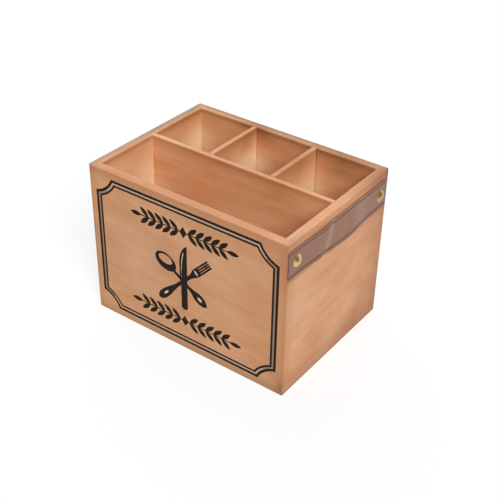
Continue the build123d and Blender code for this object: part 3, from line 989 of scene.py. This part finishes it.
# %% Sewing thread
thread, tree, output = new_tree("waxed_brown_thread")
thread_map = add_node(tree, "ShaderNodeTexCoord", {}, {}).outputs["UV"]
strands = add_node(
    tree,
    "ShaderNodeTexWave",
    {"bands_direction": "DIAGONAL"},
    {"Vector": thread_map, "Scale": 4.0, "Distortion": 0.6, "Detail": 1.0},
).outputs["Fac"]
thread_colour = add_node(
    tree,
    "ShaderNodeMix",
    {"data_type": "RGBA"},
    {0: strands, 6: linear("#3A2118"), 7: linear("#5C3A2A")},
).outputs[2]
strand_bump = add_node(
    tree, "ShaderNodeBump", {}, {"Strength": 0.4, "Distance": 0.1 * mm, "Height": strands}
).outputs[0]
waxed = add_node(
    tree,
    "ShaderNodeBsdfPrincipled",
    {},
    {
        "Base Color": thread_colour,
        "Roughness": 0.6,
        "Specular IOR Level": 0.2,
        "Normal": strand_bump,
    },
)
tree.links.new(waxed.outputs[0], output.inputs["Surface"])
print("Thread finish", thread.name)

# %% [markdown]
# Two more helpers do by code what a hand does with the mouse: one selects the points of a mesh by their
# place, and one adds a modifier and applies it at once.

# %% Helpers for modelling
def select_points(piece, chosen):
    """Select the points of a mesh whose place chosen accepts, and leave the mesh in edit mode."""
    bpy.ops.object.mode_set(mode="OBJECT")
    mesh = piece.data
    mesh.polygons.foreach_set("select", [False] * len(mesh.polygons))
    mesh.edges.foreach_set("select", [False] * len(mesh.edges))
    mesh.vertices.foreach_set("select", [bool(chosen(point.co)) for point in mesh.vertices])
    bpy.ops.object.mode_set(mode="EDIT")
    bpy.ops.mesh.select_mode(type="VERT")


def apply_modifier(piece, kind, **settings):
    """Add a modifier with its settings to the active piece and apply it."""
    modifier = piece.modifiers.new(kind.lower(), kind)
    for setting, value in settings.items():
        setattr(modifier, setting, value)
    bpy.ops.object.modifier_apply(modifier=modifier.name)


print("Helpers", select_points.__name__, "and", apply_modifier.__name__)

# %% [markdown]
# A strap starts as a flat grid of 1 mm squares against the right wall. Bisect cuts its corners round
# in three slices each. Solidify gives it the thickness of leathercloth and Bevel softens its cut
# edges. Then the points on the two seams are pressed in, as a row of stitches does.

# %% Flat strap
leather_thickness = 1.3 * mm
corner_round = 2.4 * mm
seam_depth = 0.35 * mm
wall_gap = 0.1 * mm
outer_x = wall_x + wall_gap + leather_thickness

bpy.ops.object.select_all(action="DESELECT")
bpy.ops.mesh.primitive_grid_add(
    x_subdivisions=squares_across,
    y_subdivisions=squares_along,
    size=1,
    rotation=(0, math.radians(90), 0),
)
strap = bpy.context.object
strap.name = "strap"
bpy.ops.object.transform_apply(rotation=True)
bpy.ops.object.mode_set(mode="EDIT")
bpy.ops.mesh.select_all(action="SELECT")
bpy.ops.transform.resize(value=(1, strap_length, strap_width), center_override=(0, 0, 0))
bpy.ops.transform.translate(value=(outer_x, strap_centre, strap_middle))
for y_sign in (-1, 1):
    for z_sign in (-1, 1):
        round_centre = Vector(
            (
                outer_x,
                strap_centre + y_sign * (strap_length / 2 - corner_round),
                strap_middle + z_sign * (strap_width / 2 - corner_round),
            )
        )
        for slice_angle in (22.5, 45, 67.5):
            angle = math.radians(slice_angle)
            slice_way = Vector((0, y_sign * math.cos(angle), z_sign * math.sin(angle)))
            bpy.ops.mesh.select_all(action="SELECT")
            bpy.ops.mesh.bisect(
                plane_co=round_centre + slice_way * corner_round, plane_no=slice_way, clear_outer=True
            )
bpy.ops.object.mode_set(mode="OBJECT")
apply_modifier(strap, "SOLIDIFY", thickness=leather_thickness, offset=-1)
apply_modifier(strap, "BEVEL", width=0.4 * mm, segments=2, limit_method="ANGLE")

strap_top = strap_middle + strap_width / 2
seams = (strap_top - lower_seam, strap_top - upper_seam)


def on_seam(point):
    """True for the points of the flat strap's outer face that lie on one of the seams."""
    return point.x > outer_x - 0.2 * mm and min(abs(point.z - seam) for seam in seams) < 0.4 * mm


select_points(strap, on_seam)
bpy.ops.transform.translate(value=(-seam_depth, 0, 0))
bpy.ops.object.mode_set(mode="OBJECT")
strap.data.materials.append(leather)
print("Flat strap, faces", len(strap.data.polygons))

# %% [markdown]
# One stitch is a short eight-sided cylinder whose ends are drawn out, tapered and dipped into the
# leather. An Array modifier repeats it along the strap, because a real seam has even stitches, and
# the two rows become one mesh with the strap for the next step.

# %% Stitches
thread_radius = 0.42 * mm
thread_sink = 0.22 * mm
stitch_length = 3.0 * mm
stitch_end = 0.6 * mm
end_dip = 0.4 * mm
end_margin = 2 * mm
row_length = strap_length - 2 * end_margin
# An even number of stitches, about 4 mm apart, so that the cut at the middle falls between two of them
stitch_count = 2 * round(row_length / (2 * 4 * mm))
stitch_pitch = row_length / stitch_count
first_stitch = strap_centre - row_length / 2 + stitch_pitch / 2

rows = []
for seam in seams:
    bpy.ops.object.select_all(action="DESELECT")
    bpy.ops.mesh.primitive_cylinder_add(
        vertices=8, radius=thread_radius, depth=stitch_length - 2 * stitch_end, end_fill_type="NGON"
    )
    row = bpy.context.object
    row.name = "row_of_stitches"
    for end in (-1, 1):
        select_points(row, lambda point: point.z * end > 0.3 * mm)
        bpy.ops.mesh.extrude_region_move(
            TRANSFORM_OT_translate={"value": (-end_dip, 0, end * stitch_end)}
        )
        bpy.ops.transform.resize(value=(0.6, 0.6, 1))
    bpy.ops.mesh.select_all(action="SELECT")
    bpy.ops.transform.rotate(value=math.radians(90), orient_axis="X", center_override=(0, 0, 0))
    bpy.ops.transform.translate(value=(outer_x - thread_sink, first_stitch, seam))
    bpy.ops.object.mode_set(mode="OBJECT")
    apply_modifier(
        row,
        "ARRAY",
        count=stitch_count,
        use_relative_offset=False,
        use_constant_offset=True,
        constant_offset_displace=(0, stitch_pitch, 0),
    )
    row.data.materials.append(thread)
    rows.append(row)

bpy.ops.object.select_all(action="DESELECT")
for row in rows:
    row.select_set(True)
strap.select_set(True)
bpy.context.view_layer.objects.active = strap
bpy.ops.object.join()
print("Stitches in one strap", 2 * stitch_count)

# %% [markdown]
# The strap hangs slack: it bows off the wall and has a slanting fold a little ahead of the middle.
# Behind the fold its lower edge flares out and its upper edge lies back. Proportional editing pulls a
# few points and takes the others along, as a hand would shape it, and the stitches go with it. Last,
# the whole strap is tipped a little, because its rear end hangs lower than its front end.

# %% Slack shape
front_y = cad_low.y
strap_bottom = strap_middle - strap_width / 2
whole_drop = 0.7 * mm
rear_drop = 0.7 * mm


def near_column(from_front):
    """A test for the points of one column, by its distance from the front of the box."""
    return lambda point: abs(point.y - front_y - from_front * mm) < 1.5 * mm


def near_fold(point):
    """True for the points on the slanting fold."""
    share_up = (point.z - strap_bottom) / strap_width
    fold_y = tab_low.y + fold_bottom + (fold_top - fold_bottom) * share_up
    return abs(point.y - fold_y) < 0.8 * mm


def near_edge(from_front, edge_z):
    """A test for the points of one long edge, at a distance from the front of the box."""
    in_column = near_column(from_front)
    return lambda point: abs(point.z - edge_z) < 3 * mm and in_column(point)


# Which points are pulled, how far off the wall, and how far around them others follow, in millimetres
for chosen, push, reach, falloff in (
    (near_column(54), 1.6, 32, "SMOOTH"),
    (near_fold, -0.9, 8, "SHARP"),
    (near_edge(96, strap_bottom), 3.9, 46, "SMOOTH"),
    (near_edge(96, strap_top), -1.25, 34, "SMOOTH"),
    (near_edge(150, strap_bottom), 0.8, 40, "SMOOTH"),
):
    select_points(strap, chosen)
    bpy.ops.transform.translate(
        value=(push * mm, 0, 0),
        use_proportional_edit=True,
        proportional_edit_falloff=falloff,
        proportional_size=reach * mm,
    )
# The strap turns about its front end and then sinks as a whole
bpy.ops.mesh.select_all(action="SELECT")
bpy.ops.transform.rotate(
    value=math.atan(rear_drop / strap_length),
    orient_axis="X",
    center_override=(0, front_y, strap_middle),
)
bpy.ops.transform.translate(value=(0, 0, -whole_drop))
bpy.ops.object.mode_set(mode="OBJECT")
strap_reach = max(point.co.x for point in strap.data.vertices)
print("Strap stands off the wall by, in mm", round((strap_reach - wall_x) / mm, 1))

# %% [markdown]
# A hand pulls the middle of the strap, and its ends stay nailed. So each strap is cut in two at the
# middle, and the halves take the place of the CAD tabs and grip, which are hidden. The left strap is the
# right one turned half round, and the stitches of each half become a piece of their own.

# %% Strap halves
def half_strap(keep_front, half_turn):
    """A copy of the strap, cut at the middle, as two pieces: the leather and its stitches."""
    bpy.ops.object.select_all(action="DESELECT")
    strap.select_set(True)
    bpy.context.view_layer.objects.active = strap
    bpy.ops.object.duplicate()
    bpy.ops.object.mode_set(mode="EDIT")
    bpy.ops.mesh.select_all(action="SELECT")
    bpy.ops.mesh.bisect(
        plane_co=(0, strap_centre, 0),
        plane_no=(0, 1, 0),
        use_fill=True,
        clear_inner=not keep_front,
        clear_outer=keep_front,
    )
    bpy.ops.mesh.select_all(action="SELECT")
    if half_turn:
        bpy.ops.transform.rotate(value=math.pi, orient_axis="Z", center_override=(0, 0, 0))
    bpy.ops.mesh.separate(type="MATERIAL")
    bpy.ops.object.mode_set(mode="OBJECT")
    pieces = list(bpy.context.selected_objects)
    for piece in pieces:
        bpy.ops.object.select_all(action="DESELECT")
        piece.select_set(True)
        bpy.context.view_layer.objects.active = piece
        bpy.ops.object.material_slot_remove_unused()
        bpy.ops.object.shade_smooth_by_angle(angle=math.radians(50))
    return sorted(pieces, key=lambda piece: piece.data.materials[0] != leather)


for side, outwards in (("right", 1), ("left", -1)):
    for end, backwards_sign in (("front", -1), ("rear", 1)):
        keep_front = (end == "front") == (side == "right")
        half, stitching = half_strap(keep_front, side == "left")
        half.name = f"{side}_{end}_strap"
        stitching.name = f"{side}_{end}_stitching"
        for piece in (half, stitching):
            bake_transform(piece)
        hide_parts(f"{side}_{end}_strap_tab", f"{side}_strap_grip")
        for piece in (half, stitching):
            print(piece.name, "faces", len(piece.data.polygons), piece.data.materials[0].name)
bpy.data.objects.remove(strap)

# %% [markdown]
# The studs are domed nails, stamped from brass and lacquered. The CAD shape is right, so they only need
# their finish: pale yellow metal, duller on the rear studs, with a painted dark reflection above each
# dome's middle and painted shade round the lower rear of its edge. The rear studs have a second painted
# dark reflection towards the front of the dome. The patches have to sit on the stud, so each stud has a
# finish of its own, measured from its middle.

# %% Brass
studs = [name for name in nodes if name.endswith("_stud")]
for name in studs:
    stud_low, stud_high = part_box(name)
    stud_middle = (stud_low + stud_high) / 2
    stud_radius = (stud_high.z - stud_low.z) / 2
    # Each patch, painted reflection and painted shade alike, starts at one distance from a point and is
    # full at another, in stud radii
    dark_metal, pale_metal = "#C8A86A", "#E6CE9C"
    dark_reflection_and_shade_patches = [
        # Painted dark reflection above the dome's middle
        (-0.42, 0.6, 0.72, 0.15, 0.9, "#6E5222"),
        # Painted shade round the lower rear of the edge
        (-0.12, 0.12, 0.85, 1.1, 0.7, "#7A6436"),
    ]
    if "rear" in name:
        dark_metal, pale_metal = "#B09258", "#CEB484"
        # On the rear studs, a second painted dark reflection towards the front of the dome
        dark_reflection_and_shade_patches.append((-0.85, 0.3, 0.65, 0.1, 0.6, "#7A6030"))
    brass, tree, output = new_tree("lacquered_brass_" + name)
    place = add_node(tree, "ShaderNodeTexCoord", {}, {}).outputs["Object"]
    specks = add_node(
        tree, "ShaderNodeTexNoise", {}, {"Vector": place, "Scale": 1 / (3 * mm), "Detail": 4.0}
    ).outputs["Fac"]
    brass_colour = add_node(
        tree,
        "ShaderNodeMix",
        {"data_type": "RGBA"},
        {0: specks, 6: linear(dark_metal), 7: linear(pale_metal)},
    ).outputs[2]
    for shift_y, shift_z, starts_at, full_at, strength, colour in dark_reflection_and_shade_patches:
        patch_point = stud_middle + Vector((0, shift_y, shift_z)) * stud_radius
        distance = oval_distance(tree, place, patch_point, (1, stud_radius, stud_radius))
        dark_patch_share = add_node(
            tree,
            "ShaderNodeMapRange",
            {"interpolation_type": "SMOOTHSTEP"},
            {"Value": distance, "From Min": starts_at, "From Max": full_at, "To Max": strength},
        ).outputs[0]
        brass_colour = add_node(
            tree,
            "ShaderNodeMix",
            {"data_type": "RGBA"},
            {0: dark_patch_share, 6: brass_colour, 7: linear(colour)},
        ).outputs[2]
    brass_gloss = add_node(
        tree, "ShaderNodeMapRange", {}, {"Value": specks, "To Min": 0.38, "To Max": 0.22}
    ).outputs[0]
    metal = add_node(
        tree,
        "ShaderNodeBsdfPrincipled",
        {},
        {"Base Color": brass_colour, "Metallic": 1.0, "Roughness": brass_gloss},
    )
    tree.links.new(metal.outputs[0], output.inputs["Surface"])
    nodes[name].material_slots[0].material = brass
print("Studs finished", len(studs))

# %% [markdown]
# The pins that hold the joints are driven flush, and their ends are touched in with wood filler,
# which takes the stain a little darker than the board around it.

# %% Filled pins
filler, tree, output = new_tree("stained_wood_filler")
place = add_node(tree, "ShaderNodeTexCoord", {}, {}).outputs["Object"]
grit = add_node(
    tree, "ShaderNodeTexNoise", {}, {"Vector": place, "Scale": 1 / (0.4 * mm), "Detail": 2.0}
).outputs["Fac"]
filler_colour = add_node(
    tree,
    "ShaderNodeMix",
    {"data_type": "RGBA"},
    {0: grit, 6: linear("#C28A5C"), 7: linear("#D69C6E")},
).outputs[2]
putty = add_node(
    tree, "ShaderNodeBsdfPrincipled", {}, {"Base Color": filler_colour, "Roughness": 0.6}
)
tree.links.new(putty.outputs[0], output.inputs["Surface"])
for name in ("corner_pins", "divider_pins"):
    nodes[name].material_slots[0].material = filler
print("Pins finished with", filler.name)
